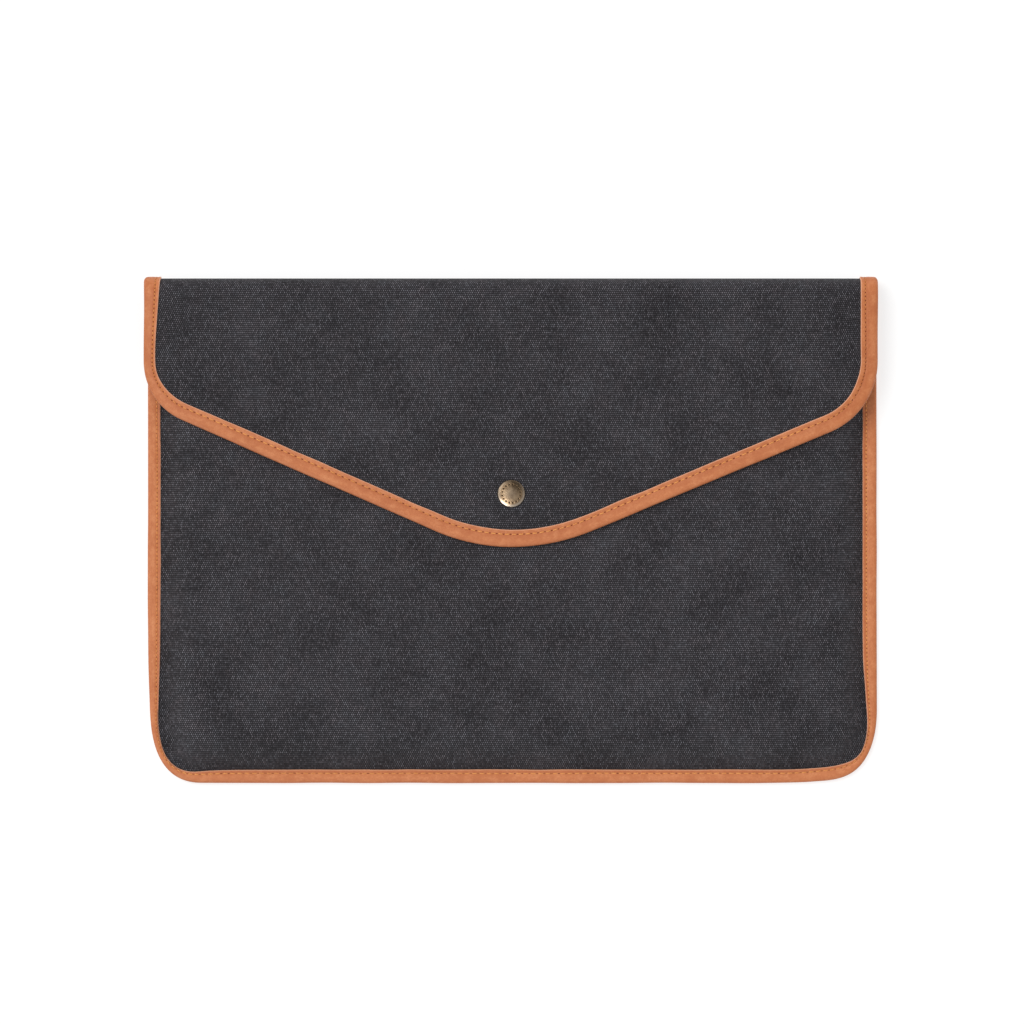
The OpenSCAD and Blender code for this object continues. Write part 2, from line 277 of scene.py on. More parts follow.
# ------------ shape of the cloth
def front_profile(d):
    """Height of the front panel by distance from the pocket's edge."""
    u = np.clip((d - SLOPE_START) / (SLOPE_END - SLOPE_START), 0, 1)
    foot = SEAM_H - LEATHER
    return foot + (FRONT_TOP - foot) * np.sin(u * pi / 2) ** 1.06


def snap_distance(x, y):
    return np.hypot(x, y - SNAP_Y)


def swell(x, y):
    """Soft unevenness of the padded front, which the flap follows."""
    calm = smooth((snap_distance(x, y) - 12) / 20)
    return calm * (0.28 * soft_noise(x, y, 46, 3) + 0.10 * soft_noise(x, y, 17, 5))


def front_height(x, y):
    """Height of the front panel's canvas, with the place for the stud."""
    d, along = pocket_edge(x, y)
    z = front_profile(d) + swell(x, y) * smooth((d - SLOPE_START) / 6)
    pucker = soft_noise(along, 0 * along, 5.5, 8) * np.exp(-np.clip(d - SLOPE_START, 0, None) / 7)
    z = z + 0.30 * pucker * smooth((d - SLOPE_START) / 3)
    z = z - 0.5 * (1 - smooth((MOUTH_Y - y) / 14)) * smooth((d - SLOPE_START) / 8)
    z = z - (FRONT_TOP - STUD_Z) * (1 - smooth((snap_distance(x, y) - 7.5) / 9))
    return z


def back_height(x, y):
    """Height of the back panel's canvas: flat on the table, a little higher in its seams."""
    d, _ = pocket_edge(x, y)
    lift = np.maximum(1 - smooth((d - 6.4) / 2.4), smooth((y - (FOLD_Y - 10)) / 10))
    return FOLD_FOOT * lift


def side_droop(x):
    return DROOP * np.clip((np.abs(x) - DROOP_START) / (FLAP_HALF - DROOP_START), 0, None) ** 2


def wrap(x, q, depth):
    """Point of the sheet that runs from the back panel round the fold into the flap, with depth
    measured inwards from the canvas's outer face."""
    x, q, depth = np.broadcast_arrays(*(np.asarray(k, float) for k in (x, q, depth)))
    r = FOLD_R - side_droop(x) / 2
    angle = np.clip(q / FOLD_R, -pi / 2, pi / 2)
    y = FOLD_OUT - r + (r - depth) * np.cos(angle) + FOLD_BULGE * np.cos(angle) ** 2
    z = FOLD_FOOT + r + (r - depth) * np.sin(angle)
    over = np.clip(np.abs(q) - QUARTER, 0, None)
    flat_y = FOLD_Y - over + (FOLD_R - r) * (1 - smooth(over / 40))
    edge, along = flap_edge(x, q)
    free = smooth((q - QUARTER - 18) / 30) * smooth((snap_distance(x, flat_y) - 9) / 16)
    ripple = 0.12 * soft_noise(along, 0 * along, 9, 13) * np.exp(-edge / 12)
    settle = FLAP_SINK * (1 - smooth(edge / 34))
    flap_z = FLAP_TOP - side_droop(x) - depth + free * (swell(x, flat_y) + ripple - settle)
    on_flap, on_back = q > QUARTER, q < -QUARTER
    y = np.where(on_flap | on_back, flat_y, y)
    z = np.where(on_flap, flap_z, z)
    if on_back.any():
        z = np.where(on_back, back_height(x, flat_y) + depth, z)
    return np.stack([x, y, z], -1)


def flap_lining_depth(x, q):
    """Depth of the lining in the flap and the fold: thinner where the edge strip holds it."""
    edge, _ = flap_edge(x, q)
    return CANVAS + STIFFENER * smooth((edge - FLAP_STRIP_W) / 5)


def back_lining_depth(x, q):
    """Depth of the lining under the fold and over the back foam."""
    y = FOLD_Y + q + QUARTER
    d, _ = pocket_edge(x, y)
    foam = smooth((d - 8.5) / 6) * smooth((PANEL_END - 1 - y) / 10)
    stiffener = smooth((d - 8.5) / 5) * (1 - foam)
    return CANVAS + FOAM * foam + STIFFENER * stiffener


def front_lining_depth(x, y):
    """Depth of the lining behind the front foam, which thins out at the seams and the mouth."""
    d, _ = pocket_edge(x, y)
    foam = smooth((d - 8.0) / 5) * (0.45 + 0.55 * smooth((MOUTH_Y - y) / 14))
    snap = smooth((snap_distance(x, y) - 8) / 8)
    return CANVAS + FOAM * foam * (0.3 + 0.7 * snap)


def front_point(x, y, depth):
    """Point of the front panel, depth below its canvas, square to it."""
    step = 0.4
    z = front_height(x, y)
    slope_x = (front_height(x + step, y) - z) / step
    slope_y = (front_height(x, y + step) - z) / step
    size = np.sqrt(1 + slope_x ** 2 + slope_y ** 2)
    return np.stack([x + depth * slope_x / size, y + depth * slope_y / size, z - depth / size], -1)


# ------------ meshes
def add_object(name, data):
    piece = bpy.data.objects.new(name, data)
    bpy.context.scene.collection.objects.link(piece)
    return piece


def new_object(name, points, faces, flat_faces, layers):
    """Mesh object from points in millimetres, with vector layers that the materials read."""
    mesh = bpy.data.meshes.new(name)
    points = np.reshape(points, (-1, 3)) * MM
    mesh.from_pydata(points.tolist(), [], [list(map(int, f)) for f in faces])
    smooth_flags = np.ones(len(faces), bool)
    smooth_flags[list(flat_faces)] = False
    mesh.polygons.foreach_set("use_smooth", smooth_flags)
    for layer, values in layers:
        data = mesh.attributes.new(layer, "FLOAT_VECTOR", "POINT")
        data.data.foreach_set("vector", np.asarray(values, np.float32).ravel())
    mesh.validate()
    return add_object(name, mesh)


def sheet_mesh(name, outer, inner, cloth):
    """Closed thin sheet between two grids of points, with its weave's coordinates."""
    rows, cols = outer.shape[:2]
    index = np.arange(rows * cols).reshape(rows, cols)
    a, b = index[:-1, :-1].ravel(), index[:-1, 1:].ravel()
    c, d = index[1:, 1:].ravel(), index[1:, :-1].ravel()
    top = np.stack([a, b, c, d], 1)
    under = np.stack([d, c, b, a], 1) + rows * cols
    rim = np.concatenate([index[0, :-1], index[:-1, -1], index[-1, :0:-1], index[:0:-1, 0]])
    after = np.roll(rim, -1)
    walls = np.stack([after, rim, rim + rows * cols, after + rows * cols], 1)
    normal = np.cross(outer[0, 1] - outer[0, 0], outer[1, 0] - outer[0, 0])
    if np.dot(normal, outer[0, 0] - inner[0, 0]) < 0:
        top, under, walls = top[:, ::-1], under[:, ::-1], walls[:, ::-1]
    faces = np.concatenate([top, under, walls])
    first_wall = len(top) + len(under)
    return new_object(name, [outer, inner], faces, range(first_wall, len(faces)),
                      [("cloth", [cloth, cloth])])


def pocket_grid(inset, end_y, columns, step):
    """Grid (x, y) that fills the pocket's outline, with rows across the sleeve."""
    rx, ry = CORNER[0] - inset, CORNER[1] - inset
    centre_x, centre_y = POCKET_HALF - inset - rx, BOTTOM_Y + inset + ry
    corner = arc((centre_x, centre_y), (rx, ry), 1.5 * pi, 2 * pi, CORNER_SQUARE,
                 int(ry * 1.4 / step) + 2)
    half, rows_y = corner.T
    straight = np.linspace(centre_y, end_y, int((end_y - centre_y) / step) + 2)[1:]
    rows_y = np.concatenate([rows_y, straight])
    half = np.concatenate([half, np.full(len(straight), centre_x + rx)])
    share = np.linspace(-1, 1, columns + 1)
    y = np.repeat(rows_y[:, None], columns + 1, 1)
    return sewn(half[:, None] * share[None, :], y)


def flap_grid(inset, columns, step):
    """Grid (x, q) that fills the flap and its half of the fold, with rows from the fold down."""
    edge = resample(flap_outline(inset)[1:-1], 0.5)
    start = pi / 8
    turn = start + np.linspace(0, 1, 14) * (pi / 2 - start)
    left, right = [flap_corner(*half)[0] + half[0] * (half[2] - inset) * np.sin(turn)
                   for half in FLAP_SIDES]
    x = np.concatenate([left[:0:-1], np.linspace(left[0], right[0], columns + 1), right[1:]])
    low = np.interp(x, edge[:, 0], edge[:, 1])
    fold_rows = np.linspace(0, QUARTER, 15)
    share = np.linspace(0, 1, int((low.max() - QUARTER) / step) + 1)[1:]
    q = np.concatenate([np.repeat(fold_rows[:, None], len(x), 1),
                        QUARTER + share[:, None] * (low - QUARTER)[None, :]])
    return np.repeat(x[None, :], len(q), 0), q


def back_grid(inset, columns, step):
    """Grid (x, q) that fills the back panel and its half of the fold, from the bottom up."""
    x, y = pocket_grid(inset, FOLD_Y, columns, step)
    q = y - FOLD_Y - QUARTER
    fold_rows = np.linspace(-QUARTER, 0, 15)[1:]
    widen = smooth((fold_rows + QUARTER) / QUARTER)[:, None]
    share = np.linspace(-1, 1, columns + 1)
    fold_x = x[-1] * (1 - widen) + share * (FLAP_HALF - inset) * widen
    return (np.concatenate([x, fold_x]),
            np.concatenate([q, np.repeat(fold_rows[:, None], x.shape[1], 1)]))


def flat_cloth(x, v):
    """Weave coordinates of a sheet whose plan is its cut."""
    return np.stack([x + WEAVE_START[0], v + WEAVE_START[1], 0 * x], -1)


def front_cloth(x, y):
    """Weave coordinates of the front panel, with 1 in the third place at its seams, where the canvas
    gets painted shade.
    """
    d, _ = pocket_edge(x, y)
    cloth = flat_cloth(x, y)
    cloth[..., 2] = np.exp(-np.clip(d - SLOPE_START, 0, None) / 9)
    return cloth


# ------------ leather strips
def rim_width(line):
    """How far in the rounded edge of a strip reaches, by how far in its stitches lie."""
    return np.minimum(1.9, 0.55 * line)


class Strip:
    """A leather strip folded over an edge.

    place(x, v, c) gives the point at plan place (x, v) and height c above the middle of the
    cloth. The path runs along the edge, with its inward side on its left if side is 1 and on its
    right if side is -1. width(s, length) is how much of the strip shows at s along that length,
    and gape is how far its needle holes stand open, from 0 to 1.
    """

    def __init__(self, path, side, stack, width, place, seed, gape=1.0):
        self.path = resample(path, STRIP_STEP)
        gap = np.gradient(self.path, axis=0)
        gap /= np.linalg.norm(gap, axis=1)[:, None]
        self.inward = side * np.stack([-gap[:, 1], gap[:, 0]], 1)
        self.run = lengths_along(self.path)
        self.length = self.run[-1]
        self.on_side = np.abs(self.inward[:, 0])  # 1 where the edge runs down a side of the sleeve
        self.pitch = STITCH_PITCH + (SIDE_PITCH - STITCH_PITCH) * smooth((self.on_side - 0.8) / 0.15)
        steps = np.diff(self.run) / ((self.pitch[1:] + self.pitch[:-1]) / 2)
        self.count = np.concatenate([[0], np.cumsum(steps)])
        self.stack, self.height = stack, stack / 2 + LEATHER
        self.width, self.place, self.seed, self.gape = width, place, seed, gape

    def calm(self, s):
        """0 at the strip's ends and 1 a little way in, so that strips fit where they meet."""
        return smooth(np.minimum(s, self.length - s) / 5)

    def wander(self, s, size, number):
        """A slow wavering along the strip, from -1 to 1."""
        return self.calm(s) * soft_noise(s, 0 * s, size, self.seed + number)

    def at(self, s, a, c):
        """Point at length s along the edge, a in from the edge, and c above mid-cloth."""
        s, a, c = np.broadcast_arrays(*(np.asarray(k, float) for k in (s, a, c)))
        x, y, lead_x, lead_y = [np.interp(s, self.run, line[:, k])
                                for line in (self.path, self.inward) for k in (0, 1)]
        a = a + 0.16 * self.wander(s, 23, 0) * np.clip(1 - a / 4, 0, 1)
        return self.place(x + lead_x * a, y + lead_y * a, c)

    def cut(self, s):
        """How far in the strip's cut edge lies."""
        return self.width(s, self.length) + 0.16 * self.wander(s, 14, 1)

    def stitch(self, s):
        """How far in the line of stitches lies."""
        return (1 - STITCH_SHARE) * self.width(s, self.length) + 0.12 * self.wander(s, 31, 4)

    def holes(self):
        """Places of the needle holes along the path."""
        return np.interp(np.arange(0.25, self.count[-1] - 0.2), self.count, self.run)

    def surface(self, s, a):
        """Height of the leather's upper face above mid-cloth."""
        line, cut = self.stitch(s), self.cut(s)
        rim = rim_width(line)
        u = np.clip(a / rim, 0, 1)
        round_off = self.height * (1 - (1 - u) ** 2.4) ** (1 / 2.4)
        crown = 0.06 * np.sin(np.clip((a - rim) / (line - rim), 0, 1) * pi)
        groove = 0.20 * np.exp(-((a - line) / 0.7) ** 2)
        hole_gap = (np.interp(s, self.run, self.count) + 0.25) % 1 - 0.5
        hole_gap = hole_gap * np.interp(s, self.run, self.pitch)
        holes = 0.30 * self.gape * np.exp(-((a - line) / 0.5) ** 2 - (hole_gap / 0.55) ** 2)
        uneven = 0.05 * soft_noise(s, a, 6, self.seed + 2) + 0.06 * soft_noise(s, a, 15, self.seed + 3)
        lip = 0.10 * np.exp(-((a - cut + 0.6) / 0.6) ** 2)
        return round_off + (crown - groove + lip + (uneven - holes) * self.calm(s)) * smooth(u)

    def seat(self, s):
        """How far in the stitches lie at s, and how high the leather is there."""
        s = np.array([s])
        line = self.stitch(s)
        return line, self.surface(s, line)

    def mesh(self, name):
        """Closed C-shaped strip along the whole path."""
        s = np.linspace(0, self.length, int(round(self.length / STRIP_STEP)) + 1)
        line, cut = self.stitch(s), self.cut(s)
        rim = rim_width(line)
        before = np.minimum(1.3, 0.6 * (line - rim))
        after = np.minimum(1.2, 0.6 * (cut - line))
        across = [rim * (1 - cos(t)) for t in np.linspace(0, pi / 2, 8)[1:]]
        across += [rim + (line - before - rim) * t for t in (0.33, 0.67)]
        across += [line - before * t for t in (1, 0.6, 0.28, 0)]
        across += [line + after * t for t in (0.28, 0.6, 1)]
        across += [cut - 0.5 - (cut - 0.5 - line - after) * t for t in (0.5, 0)]
        half = self.stack / 2 + 0.02
        wall = np.minimum(2.2, 0.5 * cut)
        top = [(a, self.surface(s, a)) for a in across]
        low = [(a, -self.surface(s, a)) for a in across]
        bevel = [(cut - 0.3, top[-1][1] - 0.10), (cut - 0.05, top[-1][1] - 0.35), (cut, half + 0 * s)]
        bevel_low = [(a, -c) for a, c in bevel]
        loop = [(0 * s, 0 * s)] + top + bevel + [(wall, half + 0 * s), (wall, -half + 0 * s)]
        loop += bevel_low[::-1] + low[::-1]
        grid = np.stack([self.at(s, a, c) for a, c in loop], 1)
        tags = np.stack([np.stack([s, a * np.sign(c + 1e-9), a - line], -1) for a, c in loop], 1)
        at_cut = [np.stack([np.clip(a - cut + 1, 0, 1), 0 * s, 0 * s], -1) for a, c in loop]
        faces = tube_faces(*grid.shape[:2])
        return new_solid(name, grid, faces, [len(faces) - 2, len(faces) - 1],
                         [("strip", tags), ("rim", np.stack(at_cut, 1))])


def tube_faces(rings, around, start=0):
    """Faces of a closed tube of rings of points, numbered from start, with a cap at each end."""
    index = start + np.arange(rings * around).reshape(rings, around)
    after = np.roll(index, -1, 1)
    faces = np.stack([index[:-1], after[:-1], after[1:], index[1:]], -1).reshape(-1, 4).tolist()
    return faces + [index[0][::-1].tolist(), index[-1].tolist()]


def new_solid(name, points, faces, flat_faces, layers):
    """A new object of closed pieces, with their faces turned outwards."""
    piece = new_object(name, points, faces, flat_faces, layers)
    bm = bmesh.new()
    bm.from_mesh(piece.data)
    bmesh.ops.recalc_face_normals(bm, faces=bm.faces)
    bm.to_mesh(piece.data)
    bm.free()
    return piece


def blobs(name, groups):
    """One mesh of many small closed pieces. Each group is (points[rings, around, 3], painted hole
    shade, shine).
    """
    points, faces, tones, shines = [], [], [], []
    start = 0
    for grid, hole_shade, shine in groups:
        rings, around = grid.shape[:2]
        faces += tube_faces(rings, around, start)
        points.append(grid.reshape(-1, 3))
        tones.append(np.repeat(np.asarray(hole_shade, float), around))
        shines.append(np.full(rings * around, shine))
        start += rings * around
    tones = np.concatenate(tones)
    tones = np.stack([tones, np.arange(len(tones)) * 0.13, np.concatenate(shines)], -1)
    return new_solid(name, np.concatenate(points), faces, [], [("tone", tones)])


def stitches(strip, under=False):
    """Threads and needle holes along a strip, one thread between each pair of holes.

    The thread is bright along the lower edges and darker, nearer the leather's colour, down the
    sides.
    """
    side = -1 if under else 1
    groups = []
    around = np.linspace(0, 2 * pi, 9)[:-1]
    along = np.array([-1.0, -0.93, -0.75, -0.4, 0, 0.4, 0.75, 0.93, 1.0])[:, None]
    ring = np.array([0.15, 0.75, 1.0, 0.75, 0.15])[:, None]
    lift = np.array([-0.04, 0.08, 0.18, 0.25, 0.27])[:, None]
    holes = strip.holes()
    rng = np.random.RandomState(strip.seed + under)
    for start, end in zip(holes[:-1], holes[1:]):
        middle, gap = (start + end) / 2, end - start
        reach = gap * (0.31 + 0.05 * rng.rand())
        lean = 0.25 * (rng.rand() - 0.5)
        radius = 0.31 * np.sqrt(np.clip(1 - np.abs(along) ** 5, 0.02, 1)) * (0.92 + 0.16 * rng.rand())
        line, base = strip.seat(middle)
        arch = base + 0.20 - 0.34 * np.abs(along) ** 3
        s = middle + along * reach + 0 * around
        a = line + lean * along + radius * np.cos(around)
        c = side * (arch + 0.75 * radius * np.sin(around))
        on_side = np.interp(middle, strip.run, strip.on_side)
        patchy = soft_noise(middle, 0.0, 40, strip.seed + 5)
        # the thread is made darker down the sides
        rubbed = (0.15 + 0.50 * strip.gape) * on_side ** 2
        shine = float(np.clip(1.0 - rubbed + 0.35 * patchy, 0.1, 1))
        # painted shade at each thread's ends, where it goes down into the holes
        groups.append((strip.at(s, a, c), 0.55 * np.abs(along[:, 0]) ** 8, shine))
    # dark blobs in the needle holes, which are painted shade
    for middle in holes:
        half = 0.21 * np.interp(middle, strip.run, strip.pitch) * (0.8 + 0.4 * rng.rand())
        half = half * (0.65 + 0.35 * strip.gape)
        dark = min(1.0, 0.22 + 0.78 * strip.gape + 0.35 * rng.rand() ** 3)
        line, base = strip.seat(middle)
        s = middle + half * ring * np.cos(around)
        a = line + 0.33 * ring * np.sin(around)
        groups.append((strip.at(s, a, side * (base + lift + 0 * around)), np.full(5, dark), 0.3))
    return groups


# ------------ material tools
class Nodes:
    """Short way to build a node material."""

    def __init__(self, name):
        self.material = bpy.data.materials.new(name)
        self.material.use_nodes = True
        self.tree = self.material.node_tree
        self.tree.nodes.clear()
        self.shader = self.tree.nodes.new("ShaderNodeBsdfPrincipled")
        out = self.tree.nodes.new("ShaderNodeOutputMaterial")
        self.tree.links.new(self.shader.outputs[0], out.inputs[0])

    def feed(self, socket, value):
        if isinstance(value, bpy.types.NodeSocket):
            self.tree.links.new(value, socket)
        else:
            socket.default_value = value

    def add(self, kind, inputs, output=0, **settings):
        node = self.tree.nodes.new("ShaderNode" + kind)
        for key, value in settings.items():
            setattr(node, key, value)
        for key, value in inputs.items():
            self.feed(node.inputs[key], value)
        return node.outputs[output]

    def layer(self, name):
        return self.add("Attribute", {}, "Vector", attribute_name=name)

    def math(self, op, a, b=0.0, c=0.0):
        return self.add("Math", {0: a, 1: b, 2: c}, operation=op)

    def times(self, a, b):
        return self.math("MULTIPLY", a, b)

    def total(self, first, *more):
        for part in more:
            first = self.math("ADD", first, part)
        return first

    def place(self):
        """Where a point lies in its own object."""
        return self.add("TexCoord", {}, "Object")

    def split(self, vector):
        node = self.tree.nodes.new("ShaderNodeSeparateXYZ")
        self.feed(node.inputs[0], vector)
        return node.outputs[0], node.outputs[1], node.outputs[2]

    def join(self, x, y, z=0.0):
        return self.add("CombineXYZ", {0: x, 1: y, 2: z})

    def noise(self, vector, scale, detail=2.0, rough=0.5):
        return self.add("TexNoise", {"Vector": vector, "Scale": scale, "Detail": detail,
                                     "Roughness": rough}, "Fac")

    def remap(self, value, low, high, to_low=0.0, to_high=1.0):
        return self.add("MapRange", {"Value": value, "From Min": low, "From Max": high,
                                     "To Min": to_low, "To Max": to_high}, clamp=True)

    def mix(self, share, a, b, blend="MIX"):
        return self.add("Mix", {0: share, 6: a, 7: b}, 2, data_type="RGBA", blend_type=blend)

    def bump(self, height, strength, distance):
        self.set(Normal=self.add("Bump", {"Height": height, "Strength": strength,
                                          "Distance": distance}))

    def set(self, **values):
        for key, value in values.items():
            self.feed(self.shader.inputs[key.replace("_", " ")], value)

    def base(self, colour, roughness):
        self.set(Base_Color=colour, Roughness=roughness)


def tone(red, green, blue):
    """Linear colour, with alpha, from 0 to 255 display values."""
    lin = [v / 12.92 if v <= 0.04045 else ((v + 0.055) / 1.055) ** 2.4
           for v in (red / 255, green / 255, blue / 255)]
    return (*lin, 1.0)


def weave_material(name, dark, light, warp, pick, wash, sheen):
    """Plain-weave cloth. warp and pick are the distances between threads, in millimetres, and
    wash is how strongly washing has clouded it."""
    m = Nodes(name)
    cloth = m.layer("cloth")
    u, v, seam_shade = m.split(cloth)
    # the yarns wander a little
    sway = m.math("SUBTRACT", m.noise(cloth, 0.060, 2.0), 0.5)
    sag = m.math("SUBTRACT", m.noise(m.join(u, v, 40.0), 0.03, 2.0), 0.5)
    warps = m.total(m.math("DIVIDE", u, warp), m.times(sway, 1.7))
    picks = m.total(m.math("DIVIDE", v, pick), m.times(sag, 0.35))
    su = m.math("SINE", m.times(warps, pi))
    sv = m.math("SINE", m.times(picks, pi))
    over = m.times(su, sv)
    warp_top = m.times(m.math("ABSOLUTE", su), m.math("MULTIPLY_ADD", over, 0.5, 0.5))
    pick_top = m.times(m.math("ABSOLUTE", sv), m.math("MULTIPLY_ADD", over, -0.5, 0.5))
    height = m.math("MAXIMUM", warp_top, pick_top)
    # no two crossings or yarns took the dye alike
    warp_number, pick_number = m.math("FLOOR", warps), m.math("FLOOR", picks)
    slub = m.add("TexWhiteNoise", {"Vector": m.join(warp_number, pick_number)}, "Value")
    bright = m.math("POWER", slub, 5.0)
    pick_yarn = m.noise(m.join(m.times(u, 0.10), pick_number, 7.0), 0.9, 1.0)
    warp_yarn = m.noise(m.join(warp_number, m.times(v, 0.12)), 0.9, 1.0)
    fluff = m.noise(cloth, 1.3, 4.0, 0.7)
    clouds = m.noise(cloth, 0.030, 4.0, 0.60)
    tint = m.noise(m.join(u, v, 90.0), 0.11, 5.0, 0.75)
    # crumple lines that come and go
    bent = m.noise(m.join(m.math("MULTIPLY_ADD", v, 0.4, u), v, 15.0), 0.022, 4.0, 0.60)
    line = m.math("ABSOLUTE", m.math("SUBTRACT", bent, 0.5))
    crumple = m.times(m.remap(line, 0.0, 0.010, 1.0, 0.0),
                      m.remap(m.noise(m.join(u, v, 55.0), 0.02, 2.0), 0.48, 0.62))
    lift = m.total(m.remap(slub, 0.0, 1.0, -0.20, 0.16),
                   m.times(bright, 0.48),
                   m.remap(pick_yarn, 0.3, 0.7, -0.06, 0.06),
                   m.remap(warp_yarn, 0.3, 0.7, -0.03, 0.03),
                   m.remap(fluff, 0.25, 0.75, -0.10, 0.10),
                   m.remap(clouds, 0.25, 0.75, -wash, wash),
                   m.times(crumple, 0.6 * wash),
                   # painted shade: darker canvas near the front panel's seams
                   m.times(seam_shade, -0.10))
    top = m.remap(warp_top, 0.25, 0.92)
    pick_share = m.times(m.remap(pick_top, 0.4, 1.0), m.math("MULTIPLY_ADD", lift, 0.3, 0.10))
    share = m.total(m.times(top, m.total(0.42, lift)), pick_share)
    cool = m.mix(1.0, light, (0.93, 1.0, 1.04, 1.0), "MULTIPLY")
    warm = m.mix(1.0, light, (1.05, 0.99, 1.0, 1.0), "MULTIPLY")
    colour = m.mix(m.add("Clamp", {0: share}), dark, m.mix(m.remap(tint, 0.35, 0.65), warm, cool))
    # painted shade: darker between the picks and in the low parts of the weave
    gap = m.times(m.remap(m.math("ABSOLUTE", sv), 0.10, 0.75, 0.30, 1.0),
                  m.remap(height, 0.10, 0.45, 0.65, 1.0))
    colour = m.mix(1.0, colour, m.join(gap, gap, gap), "MULTIPLY")
    m.base(colour, m.remap(height, 0.0, 1.0, 0.95, 0.80))
    m.bump(m.total(height, m.times(fluff, 0.35)), 0.75, 0.00022)
    m.set(Sheen_Weight=sheen, Sheen_Roughness=0.45, Specular_IOR_Level=0.25)
    return m.material


def leather_material(name, gain, outside, inside):
    """Tan leather with a pale cut edge and painted shade along its fold. gain makes one copy lighter
    than another, as painted light. outside and inside are how much painted shade lies on each side of
    the stitches."""
    m = Nodes(name)
    strip = m.layer("strip")
    s, a, inward = m.split(strip)
    rim = m.split(m.layer("rim"))[0]
    spot = m.join(s, a)
    broad = m.noise(spot, 0.05, 4.0, 0.6)
    mottle = m.noise(m.join(s, m.times(a, 1.4), 30.0), 0.22, 5.0, 0.72)
    fine = m.noise(spot, 0.9, 4.0, 0.65)
    pores = m.add("TexVoronoi", {"Vector": spot, "Scale": 2.4}, "Distance")
    colour = m.mix(m.remap(broad, 0.32, 0.68), tone(188, 110, 65), tone(203, 125, 78))
    # painted shade in the dip beside the stitch line: outside it on the flap's strips, inside it on
    # the pocket's
    shade_outside_stitches = m.times(m.remap(inward, -4.0, -0.9), m.remap(inward, -0.5, 0.2, outside, 0.0))
    seam_shade = m.times(m.remap(inward, 0.1, 0.6), m.remap(inward, 1.3, 1.9, inside, 0.0))
    from_fold = m.math("ABSOLUTE", a)
    rubbed = m.times(m.remap(m.noise(spot, 0.35, 3.0, 0.7), 0.58, 0.72, 0.0, 0.4),
                     m.remap(from_fold, 0.4, 1.6, 1.0, 0.0))
    for share, shade in (
            (m.remap(mottle, 0.46, 0.66, 0.0, 0.75), tone(216, 143, 97)),
            (m.remap(mottle, 0.32, 0.46, 0.45, 0.0), tone(180, 101, 60)),
            (m.remap(fine, 0.42, 0.70, 0.0, 0.50), tone(178, 100, 60)),
            (m.total(shade_outside_stitches, seam_shade), tone(172, 92, 52)),
            # painted shade: darker towards the strip's fold
            (m.remap(from_fold, 0.1, 3.0, 0.45, 0.0), tone(168, 94, 54)),
            (rubbed, tone(218, 158, 120)),
            (m.remap(rim, 0.45, 0.70), m.mix(fine, tone(210, 142, 112), tone(236, 182, 154)))):
        colour = m.mix(share, colour, shade)
    # gain tints the whole copy; the pocket copy's extra lightness is painted light
    colour = m.mix(1.0, colour, (gain, 0.975 * gain, 0.91 * gain, 1.0), "MULTIPLY")
    m.base(colour, m.remap(fine, 0.3, 0.7, 0.52, 0.66))
    m.bump(m.total(m.times(fine, 0.7), m.times(pores, 0.5)), 0.28, 0.00012)
    m.set(Specular_IOR_Level=0.35, Sheen_Weight=0.06)
    return m.material


def thread_material():
    """Orange sewing thread, with painted shade where it goes down into a needle hole."""
    m = Nodes("thread")
    hole_shade, strand, shine = m.split(m.layer("tone"))
    twist = m.noise(m.join(m.times(strand, 5.0), strand), 1.0, 2.0)
    fresh = m.mix(m.remap(twist, 0.3, 0.7), tone(218, 136, 68), tone(242, 178, 110))
    colour = m.mix(shine, tone(178, 102, 58), fresh)
    # painted shade of the needle holes
    colour = m.mix(m.remap(hole_shade, 0.2, 0.9), colour, tone(128, 60, 28))
    m.base(colour, m.remap(twist, 0.0, 1.0, 0.55, 0.75))
    m.bump(twist, 0.5, 0.0001)
    m.set(Sheen_Weight=0.03, Specular_IOR_Level=0.15)
    return m.material


def foam_material():
    """Pale closed-cell foam."""
    m = Nodes("foam")
    cells = m.add("TexVoronoi", {"Vector": m.place(), "Scale": 1600.0}, "Distance")
    colour = m.mix(m.remap(cells, 0.1, 0.7), tone(214, 212, 204), tone(232, 230, 222))
    m.base(colour, m.remap(cells, 0.0, 1.0, 0.85, 0.95))
    m.bump(cells, 0.4, 0.0001)
    return m.material


def brass_material(name, recess_and_shade=None, rub_and_highlight=None):
    """Antique brass: dark with patina in its dents and with painted shade under the rim, rubbed bright
    where hands touch it, with a painted highlight on its lower side.
    """
    m = Nodes(name)
    if recess_and_shade is None:
        recess_and_shade, rub_and_highlight, _ = m.split(m.layer("wear_and_painted_light"))
    stain = m.noise(m.place(), 420.0, 4.0, 0.6)
    speck = m.noise(m.place(), 2600.0, 3.0, 0.7)
    colour = m.mix(m.remap(stain, 0.30, 0.70), tone(124, 101, 76), tone(152, 129, 102))
    rubbed = m.times(rub_and_highlight, m.remap(speck, 0.3, 0.7, 0.6, 1.0))
    # rubbed bright metal: wear, and a painted highlight on the cap's lower side
    colour = m.mix(rubbed, colour, tone(216, 208, 196))
    # patina in the dents and painted shade under the rim
    colour = m.mix(m.remap(recess_and_shade, 0.1, 0.9), colour, tone(52, 38, 26))
    tarnish = m.total(m.times(stain, 0.5), m.times(speck, 0.5))
    m.base(colour, m.remap(tarnish, 0.3, 0.7, 0.26, 0.38))
    m.bump(speck, 0.05, 0.00006)
    m.set(Metallic=1.0)
    return m.material


def steel_material():
    m = Nodes("spring_wire")
    drawn = m.noise(m.place(), 3000.0, 2.0)
    m.base(m.mix(drawn, tone(150, 144, 130), tone(196, 188, 170)), m.remap(drawn, 0.3, 0.7, 0.25, 0.4))
    m.set(Metallic=1.0)
    return m.material


